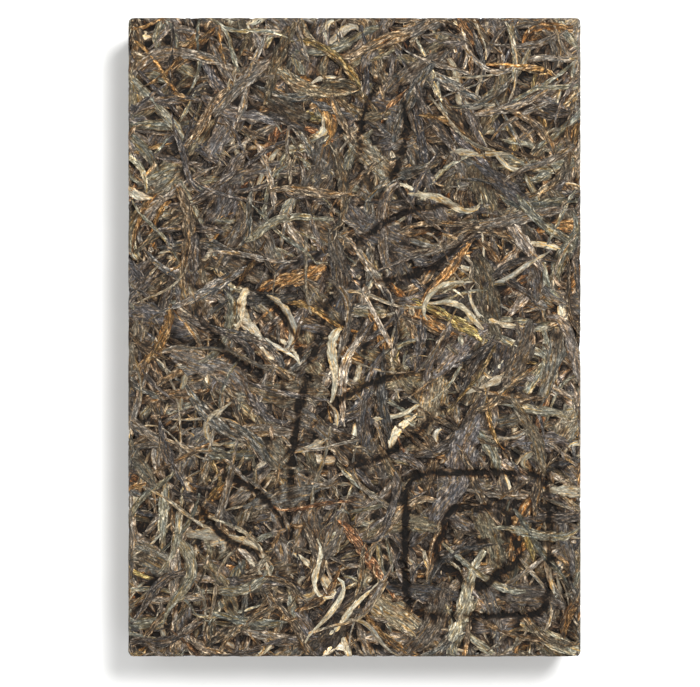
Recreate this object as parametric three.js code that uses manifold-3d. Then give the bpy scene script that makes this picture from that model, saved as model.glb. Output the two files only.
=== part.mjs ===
// A pressed brick of pu erh tea, lying on its back with the pressed design up.
// Steamed whole leaves, stalks and buds are squeezed into a flat mould, so the brick is one hard
// block. Its skin is a low relief of crossed leaf strips, all held back to the walls of the mould,
// and the mould's lid presses a tea sprig and a framed flower into the top.
// Millimetres. X runs across the brick, Y along it, Z up. The origin is the middle of the underside.
import * as THREE from "three";
import { mergeVertices } from "three/addons/utils/BufferGeometryUtils.js";
import Module from "manifold-3d";

const wasm = await Module();
wasm.setup();

// Driving dimensions: the inside of the mould.
const WIDTH = 170;
const LENGTH = 240;
const THICKNESS = 30;
const CORNER_RADIUS = 0.5;
const EDGE_ROUND = 1.5;

// The leaf skin. The core stays RELIEF inside the mould, and the strips fill some of that depth.
const RELIEF = 0.58;
const LEAF_ROOT = 1.2;
const LEAF_SEGMENTS = 2;
const LONGEST_LEAF = 42;
const SHORTEST_LEAF = 17;
const WIDEST_LEAF = 10;
const NARROWEST_LEAF = 4;
const LENGTH_SPREAD = [0.8, 1.1];
const WIDTH_SPREAD = [0.2, 0.9];
const TIP_SHARE = 0.3;
const MOST_BEND = 0.55;
const LOOSE_RIDGES = [0.3, 0.8];
const FLATTENED_RIDGES = [0.8, 1.2];
const TOP_LEAVES = 100;
const UNDERSIDE_LEAVES = 50;
const LONG_SIDE_LEAVES = 18;
const SHORT_SIDE_LEAVES = 12;
const SIDE_SLANT = 0.45;
const SEED = 4711;

// The pressed design. Places are on the top face, from its middle.
const GROOVE_WIDTH = 5.2;
const GROOVE_DEPTH = 2.2;
const VEIN_WIDTH = 3.6;
const VEIN_DEPTH = 1.7;
const RUN_OUT = 0.35;
const STROKE_SEGMENTS = 6;
const BOWED_AT = 0.45;
const VEIN_BOW = 0.1;
const STEM = { from: [-22, -102], by: [-34, -28], to: [8, 52] };
const SPRIG_LEAVES = [
  { along: 0.14, heading: 142, length: 50, width: 21 },
  { along: 0.36, heading: 28, length: 72, width: 27 },
  { along: 0.56, heading: 136, length: 62, width: 25 },
  { along: 0.82, heading: 24, length: 60, width: 23 },
];
const SPRIG_BUD = { along: 1, heading: 84, length: 52, width: 17 };
const FRAME = { at: [46, -78], half: 27, squareness: 7, segments: 36 };
const FLOWER = { at: [46, -78], radius: 16, petals: 5, lobe: 0.2, segments: 40 };

// One seeded draw from 0 to 1, the same on every machine.
const DRAW_FACTOR = 16807;
const DRAW_MODULUS = 2147483647;
let drawn = SEED;
function draw() {
  drawn = (drawn * DRAW_FACTOR) % DRAW_MODULUS;
  return drawn / DRAW_MODULUS;
}

const between = (low, high) => low + (high - low) * draw();

// Places spread evenly over a unit square, by the plastic number's sequence.
const PLASTIC = 1.32471795724;
const evenPlace = (index) => [
  (0.5 + index / PLASTIC) % 1,
  (0.5 + index / PLASTIC ** 2) % 1,
];

// Joins a closed geometry's vertices and hands it to the solid modeller.
function solidFrom(geometry) {
  geometry.deleteAttribute("normal");
  geometry.deleteAttribute("uv");
  const merged = mergeVertices(geometry, 1e-4);
  return new wasm.Manifold(
    new wasm.Mesh({
      numProp: 3,
      vertProperties: merged.attributes.position.array,
      triVerts: new Uint32Array(merged.index.array),
    }),
  );
}

// A block with rounded upright corners and rounded rims, standing inset inside the mould.
function roundedBlock(inset) {
  const halfX = WIDTH / 2 - inset - EDGE_ROUND;
  const halfY = LENGTH / 2 - inset - EDGE_ROUND;
  const r = CORNER_RADIUS;
  const outline = new THREE.Shape()
    .moveTo(-halfX + r, -halfY)
    .lineTo(halfX - r, -halfY)
    .absarc(halfX - r, -halfY + r, r, -Math.PI / 2, 0)
    .lineTo(halfX, halfY - r)
    .absarc(halfX - r, halfY - r, r, 0, Math.PI / 2)
    .lineTo(-halfX + r, halfY)
    .absarc(-halfX + r, halfY - r, r, Math.PI / 2, Math.PI)
    .lineTo(-halfX, -halfY + r)
    .absarc(-halfX + r, -halfY + r, r, Math.PI, 1.5 * Math.PI);
  const block = new THREE.ExtrudeGeometry(outline, {
    depth: THICKNESS - 2 * (inset + EDGE_ROUND),
    bevelThickness: EDGE_ROUND,
    bevelSize: EDGE_ROUND,
    bevelSegments: 2,
    curveSegments: 3,
  });
  return solidFrom(block.translate(0, 0, inset + EDGE_ROUND));
}

// A four-edged bar laid along a curve in the XY plane: a ridge on top, a keel below and a thin
// edge on each side. profile(t) gives its half width, ridge height and keel depth.
function barAlong(curve, segments, profile) {
  const bar = new THREE.CylinderGeometry(1, 1, 1, 4, segments);
  const place = bar.attributes.position;
  const point = new THREE.Vector2();
  for (let i = 0; i < place.count; i++) {
    const t = THREE.MathUtils.clamp(place.getY(i) + 0.5, 0, 1);
    const { half, ridge, keel } = profile(t);
    const heading = curve.getTangent(t);
    curve.getPoint(t, point);
    const aside = place.getX(i) * half;
    const up = place.getZ(i) * (place.getZ(i) > 0 ? ridge : keel);
    place.setXYZ(i, point.x + heading.y * aside, point.y - heading.x * aside, up);
  }
  return bar;
}

// One pressed leaf strip: a bar along a bent line, widest a quarter of the way along.
function leafStrip({ u, v, heading, length, width, bend, ridge }) {
  const reach = new THREE.Vector2(Math.cos(heading), Math.sin(heading)).multiplyScalar(length / 2);
  const aside = new THREE.Vector2(-reach.y, reach.x).multiplyScalar(bend);
  const middle = new THREE.Vector2(u, v);
  const curve = new THREE.QuadraticBezierCurve(
    middle.clone().sub(reach),
    middle.clone().add(aside),
    middle.clone().add(reach),
  );
  return barAlong(curve, LEAF_SEGMENTS, (t) => ({
    half: (width / 2) * (TIP_SHARE + (1 - TIP_SHARE) * Math.sin(Math.PI * Math.sqrt(t))),
    ridge,
    keel: LEAF_ROOT,
  }));
}

// The six faces of the core, each with its span and the way from its own plane to the part.
function faceFrame(uAxis, vAxis, outward, distance) {
  const [x, y, z] = [uAxis, vAxis, outward].map((a) => new THREE.Vector3(...a));
  const middle = new THREE.Vector3(0, 0, THICKNESS / 2).addScaledVector(z, distance - RELIEF);
  return new THREE.Matrix4().makeBasis(x, y, z).setPosition(middle);
}

// Leaves lie every way on the two large faces and mostly level on the sides. Those underneath
// carry the press, so the mould cuts their ridges off flat.
const top = { slant: Math.PI, ridges: LOOSE_RIDGES };
const underside = { slant: Math.PI, ridges: FLATTENED_RIDGES };
const side = { slant: SIDE_SLANT, ridges: LOOSE_RIDGES };
const FACES = [
  { span: [WIDTH, LENGTH], leaves: TOP_LEAVES, ...top,
    frame: faceFrame([1, 0, 0], [0, 1, 0], [0, 0, 1], THICKNESS / 2) },
  { span: [WIDTH, LENGTH], leaves: UNDERSIDE_LEAVES, ...underside,
    frame: faceFrame([1, 0, 0], [0, -1, 0], [0, 0, -1], THICKNESS / 2) },
  { span: [LENGTH, THICKNESS], leaves: LONG_SIDE_LEAVES, ...side,
    frame: faceFrame([0, 1, 0], [0, 0, 1], [1, 0, 0], WIDTH / 2) },
  { span: [LENGTH, THICKNESS], leaves: LONG_SIDE_LEAVES, ...side,
    frame: faceFrame([0, -1, 0], [0, 0, 1], [-1, 0, 0], WIDTH / 2) },
  { span: [WIDTH, THICKNESS], leaves: SHORT_SIDE_LEAVES, ...side,
    frame: faceFrame([-1, 0, 0], [0, 0, 1], [0, 1, 0], LENGTH / 2) },
  { span: [WIDTH, THICKNESS], leaves: SHORT_SIDE_LEAVES, ...side,
    frame: faceFrame([1, 0, 0], [0, 0, 1], [0, -1, 0], LENGTH / 2) },
];

// The strips of one face, the longest first, so that the large leaves are spread evenly.
function leavesOn({ span, leaves, slant, ridges, frame }) {
  return Array.from({ length: leaves }, (_, index) => {
    const [a, b] = evenPlace(index);
    const size = 1 - index / leaves;
    const strip = leafStrip({
      u: (a - 0.5) * span[0],
      v: (b - 0.5) * span[1],
      heading: between(-slant, slant),
      length: THREE.MathUtils.lerp(SHORTEST_LEAF, LONGEST_LEAF, size) * between(...LENGTH_SPREAD),
      width: THREE.MathUtils.lerp(NARROWEST_LEAF, WIDEST_LEAF, between(...WIDTH_SPREAD) * size),
      bend: between(-MOST_BEND, MOST_BEND),
      ridge: between(...ridges),
    });
    return solidFrom(strip.applyMatrix4(frame));
  });
}

// A V-shaped line pressed into the top along an open curve, running out at both ends.
function strokeAlong(curve, width, depth) {
  const stroke = barAlong(curve, STROKE_SEGMENTS, (t) => {
    const share = RUN_OUT + (1 - RUN_OUT) * Math.sqrt(Math.sin(Math.PI * t));
    return { half: (width / 2) * share, ridge: depth, keel: depth * share };
  });
  return solidFrom(stroke.translate(0, 0, THICKNESS));
}

// A V-shaped line pressed into the top along a closed outline, radiusAt(angle) from its middle.
function ringAlong([x, y], radiusAt, segments) {
  const ring = new THREE.TorusGeometry(1, 0.5, 4, segments);
  const place = ring.attributes.position;
  for (let i = 0; i < place.count; i++) {
    const angle = Math.atan2(place.getY(i), place.getX(i));
    const outward = (Math.hypot(place.getX(i), place.getY(i)) - 1) * GROOVE_WIDTH;
    const radius = radiusAt(angle) + outward;
    place.setXYZ(
      i,
      x + radius * Math.cos(angle),
      y + radius * Math.sin(angle),
      THICKNESS + place.getZ(i) * 2 * GROOVE_DEPTH,
    );
  }
  return solidFrom(ring);
}

const stemCurve = new THREE.QuadraticBezierCurve(
  ...[STEM.from, STEM.by, STEM.to].map((p) => new THREE.Vector2(...p)),
);

// One leaf of the sprig: two bowed edges from its joint on the stem to its tip, and a midrib.
function sprigLeaf({ along, heading, length, width }) {
  const turn = THREE.MathUtils.degToRad(heading);
  const reach = new THREE.Vector2(Math.cos(turn), Math.sin(turn)).multiplyScalar(length);
  const base = stemCurve.getPoint(along);
  const tip = base.clone().add(reach);
  const bowed = (aside) =>
    new THREE.QuadraticBezierCurve(
      base,
      base.clone().addScaledVector(reach, BOWED_AT)
        .add(new THREE.Vector2(-reach.y, reach.x).multiplyScalar(aside / length)),
      tip,
    );
  return [
    strokeAlong(bowed(width), GROOVE_WIDTH, GROOVE_DEPTH),
    strokeAlong(bowed(-width), GROOVE_WIDTH, GROOVE_DEPTH),
    strokeAlong(bowed(width * VEIN_BOW), VEIN_WIDTH, VEIN_DEPTH),
  ];
}

const squareRadius = (angle) => {
  const { half, squareness } = FRAME;
  const reach = Math.abs(Math.cos(angle)) ** squareness + Math.abs(Math.sin(angle)) ** squareness;
  return half / reach ** (1 / squareness);
};
const flowerRadius = (angle) => {
  const { radius, petals, lobe } = FLOWER;
  return radius * (1 - lobe + lobe * Math.abs(Math.cos((petals * angle) / 2 + Math.PI / 4)));
};

function pressedDesign() {
  return [
    strokeAlong(stemCurve, GROOVE_WIDTH, GROOVE_DEPTH),
    ...SPRIG_LEAVES.flatMap(sprigLeaf),
    ...sprigLeaf(SPRIG_BUD),
    ringAlong(FRAME.at, squareRadius, FRAME.segments),
    ringAlong(FLOWER.at, flowerRadius, FLOWER.segments),
  ];
}

const joined = (solids) => solids.reduce((whole, one) => whole.add(one));

// The core with its skin of leaves, held back to the mould, less the pressed design. Any scrap
// that a cut sets loose is dropped, and any bubble that the joining shuts in is filled.
function brickSolid() {
  const leaves = FACES.flatMap(leavesOn);
  const skinned = roundedBlock(RELIEF).add(joined(leaves)).intersect(roundedBlock(0));
  const pressed = skinned.subtract(joined(pressedDesign()));
  return pressed.decompose().reduce((most, one) => (one.volume() > most.volume() ? one : most));
}

function geometryOf(solid) {
  const { vertProperties, triVerts } = solid.getMesh();
  return new THREE.BufferGeometry()
    .setAttribute("position", new THREE.BufferAttribute(vertProperties, 3))
    .setIndex(new THREE.BufferAttribute(triVerts, 1));
}

const pressedTea = new THREE.MeshStandardMaterial({
  color: 0x675b4e,
  roughness: 0.8,
  metalness: 0,
  flatShading: true,
});

const brick = new THREE.Mesh(geometryOf(brickSolid()), pressedTea);
brick.name = "tea_brick";

const part = new THREE.Group();
part.add(brick);

export default part;
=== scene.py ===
# %% [markdown]
# # A pressed brick of pu erh tea
#
# Pu erh tea is steamed until its leaves go soft, poured into a flat mould and squeezed into a
# brick. What we see is a crowd of twisted leaf strips, broad leaves, stalks and downy buds, all
# held flush to the walls of the mould, with a shallow design pressed into the top by the lid.
#
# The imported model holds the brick's form as one plain solid. This script dresses it with the
# real leaves, laid down a few at a time and then pressed, as they were in the mould.

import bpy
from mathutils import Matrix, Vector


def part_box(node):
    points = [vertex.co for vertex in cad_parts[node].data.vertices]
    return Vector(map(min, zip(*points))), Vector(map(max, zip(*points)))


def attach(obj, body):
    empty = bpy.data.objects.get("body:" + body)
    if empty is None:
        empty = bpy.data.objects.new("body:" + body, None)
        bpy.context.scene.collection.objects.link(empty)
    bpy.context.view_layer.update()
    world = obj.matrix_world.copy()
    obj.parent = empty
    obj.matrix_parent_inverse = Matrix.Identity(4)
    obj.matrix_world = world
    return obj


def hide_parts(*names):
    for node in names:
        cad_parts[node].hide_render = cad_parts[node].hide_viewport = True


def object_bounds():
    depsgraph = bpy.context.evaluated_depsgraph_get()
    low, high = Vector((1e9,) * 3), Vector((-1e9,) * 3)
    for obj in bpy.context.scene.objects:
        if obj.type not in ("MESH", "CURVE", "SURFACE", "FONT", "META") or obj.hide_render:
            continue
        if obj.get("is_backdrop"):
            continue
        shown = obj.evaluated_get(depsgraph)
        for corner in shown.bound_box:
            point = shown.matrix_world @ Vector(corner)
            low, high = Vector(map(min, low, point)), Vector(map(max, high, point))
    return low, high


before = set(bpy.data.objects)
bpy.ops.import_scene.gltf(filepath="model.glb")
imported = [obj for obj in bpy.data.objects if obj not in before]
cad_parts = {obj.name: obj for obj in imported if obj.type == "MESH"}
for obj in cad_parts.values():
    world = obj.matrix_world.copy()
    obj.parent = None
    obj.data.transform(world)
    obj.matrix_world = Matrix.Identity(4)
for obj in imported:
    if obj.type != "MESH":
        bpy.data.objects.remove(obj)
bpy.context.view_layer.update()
brick_low, brick_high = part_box("tea_brick")
print("brick, in metres, from", tuple(brick_low), "to", tuple(brick_high))

# %% The other tools
import math

import bmesh
import bpy
import numpy as np

# %% [markdown]
# ## Sizes
#
# Blender works in metres. Leaves are easier to think of in millimetres, so the leaf work below is
# all in millimetres, and each mesh is scaled by MM when it is written.

# %% The brick's own sizes, in millimetres
MM = 0.001
WIDTH = round((brick_high.x - brick_low.x) / MM, 3)
LENGTH = round((brick_high.y - brick_low.y) / MM, 3)
THICKNESS = round((brick_high.z - brick_low.z) / MM, 3)
CORNER = 2.0
RIM = 1.5
print(f"brick {WIDTH:g} x {LENGTH:g} x {THICKNESS:g} mm")

# %% [markdown]
# ## The camera
#
# The picture was taken from straight above with a long lens, so no side of the brick shows. The
# brick's outline in the picture gives the scale, and the small shift of the camera puts the brick
# where the picture has it.

# %% Camera
scene = bpy.context.scene


def placed(name, data):
    """A new object with that data, in the scene."""
    thing = bpy.data.objects.new(name, data)
    scene.collection.objects.link(thing)
    return thing


PICTURE = (700, 687)
OUTLINE_X = (127.9, 581.0)
OUTLINE_Y = (17.9, 656.4)
LENS = 100
SENSOR = 36

scale_x = WIDTH * MM / (OUTLINE_X[1] - OUTLINE_X[0])
scale_y = LENGTH * MM / (OUTLINE_Y[1] - OUTLINE_Y[0])
pixel = (scale_x + scale_y) / 2
camera = placed("camera", bpy.data.cameras.new("camera"))
camera.data.lens = LENS
camera.data.sensor_width = SENSOR
camera.location = (
    (PICTURE[0] - sum(OUTLINE_X)) / 2 * pixel,
    (sum(OUTLINE_Y) - PICTURE[1]) / 2 * pixel,
    brick_high.z - RIM * MM + PICTURE[0] * pixel * LENS / SENSOR,
)
scene.camera = camera
print(f"one pixel is {pixel / MM:.3f} mm, and the camera hangs {camera.location.z:.3f} m up")

# %% [markdown]
# ## Light and floor
#
# The light is plain and soft, from all round, with one large lamp up to the right that gives the
# leaves their shaded sides, and a weak one on the left. The floor is pale, and isn't part of the
# brick.

# %% World, lamps and floor
SKY_STRENGTH = 0.6
KEY_POWER, KEY_SIZE = 10.2, 0.3
FILL_POWER, FILL_SIZE = 2, 0.6
FLOOR_SIZE = 3

scene.view_settings.view_transform = "Standard"
world = bpy.data.worlds.new("studio")
world.use_nodes = True
background = world.node_tree.nodes["Background"]
background.inputs["Color"].default_value = (1, 1, 1, 1)
background.inputs["Strength"].default_value = SKY_STRENGTH
scene.world = world


def lamp(name, place, size, power):
    """A square soft lamp at a place, turned to the middle of the brick."""
    light = placed(name, bpy.data.lights.new(name, "AREA"))
    light.data.size = size
    light.data.energy = power
    light.location = place
    light.rotation_euler = light.location.to_track_quat("Z", "Y").to_euler()


lamp("key_lamp", (0.3, 0.32, 0.85), KEY_SIZE, KEY_POWER)
lamp("fill_lamp", (-0.6, -0.3, 0.8), FILL_SIZE, FILL_POWER)

floor_mesh = bpy.data.meshes.new("floor")
plane = bmesh.new()
bmesh.ops.create_grid(plane, x_segments=1, y_segments=1, size=FLOOR_SIZE)
plane.to_mesh(floor_mesh)
plane.free()
floor = placed("floor", floor_mesh)
paper = bpy.data.materials.new("pale paper")
paper.use_nodes = True
paper_shader = paper.node_tree.nodes["Principled BSDF"]
paper_shader.inputs["Base Color"].default_value = (0.93, 0.93, 0.92, 1)
paper_shader.inputs["Roughness"].default_value = 0.9
floor_mesh.materials.append(paper)
floor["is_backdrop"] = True

# %% [markdown]
# ## The pressed design
#
# The lid of the mould carries raised lines, which press grooves into the top: a sprig of tea with
# four leaves and a bud, and a five-petalled flower in a rounded frame. The solid model has the
# same grooves, so the numbers here are the same, in millimetres from the middle of the top.
#
# A groove is kept as a map of depths. Each line is walked in small steps, and each step marks how
# deep the cells near it are pressed.

# %% The design's lines
GROOVE_WIDTH, GROOVE_DEPTH = 5.2, 2.2
VEIN_WIDTH, VEIN_DEPTH = 3.6, 1.7
RUN_OUT = 0.35
BOWED_AT, VEIN_BOW = 0.45, 0.1
STEM = ((-22, -102), (-34, -28), (8, 52))
# Share of the stem's length, heading in degrees, length and width of each leaf, the bud last.
SPRIG_LEAVES = (
    (0.14, 142, 50, 21), (0.36, 28, 72, 27), (0.56, 136, 62, 25), (0.82, 24, 60, 23), (1, 84, 52, 17),
)
FRAME_AT, FRAME_HALF, FRAME_SQUARENESS = (46, -78), 27, 7
FLOWER_RADIUS, PETALS, LOBE = 16, 5, 0.2
LINE_STEPS = 240


def bezier(points, t):
    """Points of a quadratic curve. points has start, control and end, and t has any shape."""
    start, control, end = (np.asarray(p, float) for p in points)
    t = np.asarray(t)[..., None]
    return (1 - t) ** 2 * start + 2 * t * (1 - t) * control + t**2 * end


def open_line(points, width, depth):
    """One pressed line that runs out at both ends: its points, half widths and depths."""
    t = np.linspace(0, 1, LINE_STEPS)
    share = RUN_OUT + (1 - RUN_OUT) * np.sqrt(np.sin(math.pi * t).clip(0))
    return bezier(points, t), width / 2 * share, depth * share


def closed_line(radius_at):
    """One pressed outline round FRAME_AT."""
    angle = np.linspace(0, 2 * math.pi, 2 * LINE_STEPS)
    radius = radius_at(angle)
    points = np.stack([radius * np.cos(angle), radius * np.sin(angle)], -1) + FRAME_AT
    return points, np.full(len(angle), GROOVE_WIDTH / 2), np.full(len(angle), GROOVE_DEPTH)


def sprig_leaf(along, heading, length, width):
    """Two bowed edges from the stem to the tip, and a midrib."""
    turn = math.radians(heading)
    reach = length * np.array([math.cos(turn), math.sin(turn)])
    side = np.array([-reach[1], reach[0]]) / length
    base = bezier(STEM, along)
    sizes = (
        (width, GROOVE_WIDTH, GROOVE_DEPTH),
        (-width, GROOVE_WIDTH, GROOVE_DEPTH),
        (width * VEIN_BOW, VEIN_WIDTH, VEIN_DEPTH),
    )
    return [
        open_line((base, base + BOWED_AT * reach + bow * side, base + reach), wide, deep)
        for bow, wide, deep in sizes
    ]


def square_radius(angle):
    reach = np.abs(np.cos(angle)) ** FRAME_SQUARENESS + np.abs(np.sin(angle)) ** FRAME_SQUARENESS
    return FRAME_HALF / reach ** (1 / FRAME_SQUARENESS)


def flower_radius(angle):
    return FLOWER_RADIUS * (1 - LOBE + LOBE * np.abs(np.cos(PETALS * angle / 2 + math.pi / 4)))


design = [open_line(STEM, GROOVE_WIDTH, GROOVE_DEPTH)]
for leaf in SPRIG_LEAVES:
    design += sprig_leaf(*leaf)
design += [closed_line(square_radius), closed_line(flower_radius)]

# %% [markdown]
# ## The three sheets
#
# Leaves are easiest to lay on something flat. So the brick's skin is worked on three flat sheets:
# the top, the underside, and one belt that runs round all four sides. On each of them a runs
# across, b runs along, and h is the height above the wall of the mould. At the end each sheet is
# folded over the rounded rims, which turns (a, b, h) into a place on the brick.

# %% Fold the top sheet over the rim
def over_the_rim(a, b, h):
    """A place on the top's sheet, as x, y and the height above the middle of the brick."""
    core_x = a.clip(CORNER - WIDTH / 2, WIDTH / 2 - CORNER)
    core_y = b.clip(CORNER - LENGTH / 2, LENGTH / 2 - CORNER)
    out = np.hypot(a - core_x, b - core_y)
    safe = np.maximum(out, 1e-9)
    past = (out - (CORNER - RIM)).clip(0)
    turn = (past / RIM).clip(0, math.pi / 2)
    down = (past - RIM * math.pi / 2).clip(0)
    reach = np.where(past > 0, CORNER - RIM + (RIM + h) * np.sin(turn), out)
    z = THICKNESS / 2 - RIM + (RIM + h) * np.cos(turn) - down
    return core_x + (a - core_x) / safe * reach, core_y + (b - core_y) / safe * reach, z


def top_place(a, b, h):
    x, y, z = over_the_rim(a, b, h)
    return x, y, THICKNESS / 2 + z


def underside_place(a, b, h):
    x, y, z = over_the_rim(a, b, h)
    return x, -y, THICKNESS / 2 - z


# %% Bend the belt round the corners
SIDE_RUNS = (LENGTH - 2 * CORNER, WIDTH - 2 * CORNER) * 2
QUARTER_TURN = CORNER * math.pi / 2
BELT = sum(SIDE_RUNS) + 4 * QUARTER_TURN


def belt_place(a, b, h):
    """A place on the belt. a starts at the middle of the right side and b is from mid height."""
    x, y = np.zeros_like(a), np.zeros_like(a)
    left = np.mod(a + SIDE_RUNS[0] / 2, BELT)
    turn_in = ((np.abs(b) - (THICKNESS / 2 - RIM)).clip(0) / RIM).clip(0, math.pi / 2)
    inward = (np.abs(b) - (THICKNESS / 2 - RIM) - RIM * math.pi / 2).clip(0)
    out = CORNER - RIM + (RIM + h) * np.cos(turn_in) - inward
    level = np.where(turn_in > 0, THICKNESS / 2 - RIM + (RIM + h) * np.sin(turn_in), np.abs(b))
    corner_x, corner_y = WIDTH / 2 - CORNER, LENGTH / 2 - CORNER
    for side, run in enumerate(SIDE_RUNS):
        facing = side * math.pi / 2
        hub = np.array([math.cos(facing) - math.sin(facing), math.sin(facing) + math.cos(facing)])
        hub = hub * (corner_x, corner_y)
        straight, bent = left.clip(0, run) - run, (left - run).clip(0, QUARTER_TURN)
        angle = facing + bent / CORNER
        here = (left >= 0) & (left <= run + QUARTER_TURN)
        x = np.where(here, hub[0] - math.sin(facing) * straight + np.cos(angle) * out, x)
        y = np.where(here, hub[1] + math.cos(facing) * straight + np.sin(angle) * out, y)
        left = left - run - QUARTER_TURN
    return x, y, THICKNESS / 2 + np.sign(b) * level


# %% A sheet with its map of heights
CELL = 0.5
FLAP = 6.0
GROOVE_WALL = 2.4


def blurred(field, weight, radius):
    """The field's mean over a soft disc of that radius, in millimetres, where weight counts."""
    reach = [np.fft.fftfreq(field.shape[0]), np.fft.rfftfreq(field.shape[1])]
    bell = [np.exp(-2 * (math.pi * radius / CELL * f) ** 2) for f in reach]
    bell = bell[0][:, None] * bell[1][None, :]
    over = np.fft.irfft2(np.fft.rfft2(field * weight) * bell, s=field.shape)
    under = np.fft.irfft2(np.fft.rfft2(weight) * bell, s=field.shape)
    return over / np.maximum(under, 1e-3)


class Sheet:
    """One flat face of the mould, with the height of the leaves on it, cell by cell."""

    def __init__(self, name, half_a, half_b, closed, place):
        self.name, self.half_a, self.half_b = name, half_a, half_b
        self.closed, self.place = closed, place
        self.low_a = -half_a - (0 if closed else FLAP)
        self.low_b = -half_b - FLAP
        self.shape = (round(-2 * self.low_a / CELL), round(-2 * self.low_b / CELL))
        self.height = np.zeros(self.shape[0] * self.shape[1])
        self.owner = np.full(self.height.shape, -1)
        self.groove = np.zeros(self.height.shape)

    def cell(self, a, b):
        """The number of the cell that a place lies in."""
        i = np.floor((a - self.low_a) / CELL).astype(int)
        j = np.floor((b - self.low_b) / CELL).astype(int).clip(0, self.shape[1] - 1)
        i = i % self.shape[0] if self.closed else i.clip(0, self.shape[0] - 1)
        return i * self.shape[1] + j

    def between_cells(self, values, a, b):
        """The values at places, blended between the four nearest cells."""
        i = (a - self.low_a) / CELL - 0.5
        j = (b - self.low_b) / CELL - 0.5
        u, v = i - np.floor(i), j - np.floor(j)
        found = 0
        for di, part_i in ((0, 1 - u), (1, u)):
            for dj, part_j in ((0, 1 - v), (1, v)):
                at_a = self.low_a + (np.floor(i) + di + 0.5) * CELL
                at_b = self.low_b + (np.floor(j) + dj + 0.5) * CELL
                found = found + values[self.cell(at_a, at_b)] * part_i * part_j
        return found

    def mark_groove(self, points, half_widths, depths):
        """Presses one line of the design into the sheet's map of grooves."""
        reach = np.arange(-GROOVE_WIDTH / 2 - CELL, GROOVE_WIDTH / 2 + CELL, CELL)
        x, y = (points[:, axis, None, None] for axis in (0, 1))
        a = np.floor(x / CELL) * CELL + reach[None, :, None] + CELL / 2
        b = np.floor(y / CELL) * CELL + reach[None, None, :] + CELL / 2
        a, b = np.broadcast_arrays(a, b)
        away = np.hypot(a - x, b - y)
        share = ((half_widths[:, None, None] - away) / GROOVE_WALL).clip(0, 1)
        np.maximum.at(self.groove, self.cell(a, b), share * depths[:, None, None])


top = Sheet("top", WIDTH / 2, LENGTH / 2, False, top_place)
underside = Sheet("underside", WIDTH / 2, LENGTH / 2, False, underside_place)
belt = Sheet("belt", BELT / 2, THICKNESS / 2, True, belt_place)
sheets = (top, underside, belt)
for line in design:
    top.mark_groove(*line)
print(f"grooves take {np.mean(top.groove > 0):.0%} of the top")

# %% [markdown]
# ## Kinds of leaf
#
# Every leaf, stalk and crumb is one small closed tube, flattened and bent. The table has a column
# for each kind, and a row for each size, as a number or as a range.
#
# - stations: the steps along its length, and ring: the points round it
# - length and width in millimetres
# - crown: how far its middle stands up, and folds, fold: how many creases run along it, how deep
# - bend, hook, wave: how far it turns over its length, curls at its tip, and wanders, in radians
# - cling: how closely it follows what lies under it, from 0 for a stiff stalk to 1
# - tip: how wide its ends are, and full: where along it is widest

# %% Kinds
KIND_NAMES = ("rolled", "broad", "stalk", "bud", "crumb", "fibre")
SIZES = {
    "stations": (24, 24, 24, 24, 3, 8),
    "ring": (7, 8, 5, 6, 4, 3),
    "length": ((10, 38), (14, 34), (12, 38), (13, 32), (2.0, 7), (5, 18)),
    "width": ((1.6, 5.6), (5.5, 12), (0.8, 1.7), (2.0, 4.0), (0.7, 2.6), (0.25, 0.5)),
    "crown": ((0.3, 0.85), (0.05, 0.3), (0.3, 0.6), (0.4, 0.8), (0.15, 0.5), (0.12, 0.2)),
    "folds": ((0.8, 2.8), (1.5, 4.0), (0.2, 0.6), (0.5, 1.5), (0.3, 1.0), (0.2, 0.3)),
    "fold": ((0.12, 0.42), (0.1, 0.26), (0.0, 0.05), (0.05, 0.2), (0.0, 0.1), (0.0, 0.01)),
    "bend": (0.9, 0.6, 0.8, 1.2, 0.8, 1.6),
    "hook": (0.8, 0.3, 0.6, 1.4, 0.4, 1.2),
    "wave": (0.3, 0.3, 0.35, 0.4, 0.0, 0.5),
    "cling": ((0.35, 0.75), (0.75, 0.95), (0.1, 0.4), (0.2, 0.5), (0.3, 0.7), (0.3, 0.6)),
    "tip": ((0.05, 0.4), (0.05, 0.35), (0.5, 0.9), (0.08, 0.4), (0.3, 0.8), (0.5, 0.9)),
    "full": ((0.3, 0.7), (0.4, 0.6), (0.3, 0.7), (0.35, 0.7), (0.3, 0.7), (0.3, 0.7)),
}
KINDS = {
    name: {size: row[column] for size, row in SIZES.items()}
    for column, name in enumerate(KIND_NAMES)
}
LONG_KINDS = ("rolled", "broad", "stalk", "bud")
UNEVEN, BLUNTNESS, GRIT = 0.16, 0.8, 0.05
# The second pair: how much painted shade each leaf takes where it crosses a groove of the design.
TWIST, GROOVE_SHADE_SPREAD = (-6, 6), (0.4, 1.2)
SEED = 4711
dice = np.random.default_rng(SEED)


def drawn(pair, count, lean=1.0):
    """Seeded draws between two sizes. A lean over 1 makes the smaller ones commoner."""
    return pair[0] + (pair[1] - pair[0]) * dice.random(count) ** lean


# %% The line that each leaf lies along
def bent_lines(kind, count, heading, length):
    """Lines round (0, 0), one a leaf, with the turns of that kind."""
    steps = kind["stations"]
    t = (np.arange(steps) + 0.5) / steps
    turn = heading[:, None] + drawn((-1, 1), count)[:, None] * kind["bend"] * (t - 0.5)
    turn = turn + drawn((-1, 1), count)[:, None] ** 3 * kind["hook"] * 2 * t**4
    turn = turn + drawn((-1, 1), count)[:, None] ** 3 * kind["hook"] * 2 * (1 - t) ** 4
    swing = drawn((-1, 1), count)[:, None] * kind["wave"]
    turn = turn + swing * np.sin(2 * math.pi * (t + dice.random(count)[:, None]))
    legs = np.stack([np.cos(turn), np.sin(turn)], -1) * (length / steps)[:, None, None]
    line = np.concatenate([np.zeros((count, 1, 2)), np.cumsum(legs, 1)], 1)
    return line - line.mean(1, keepdims=True)


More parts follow.
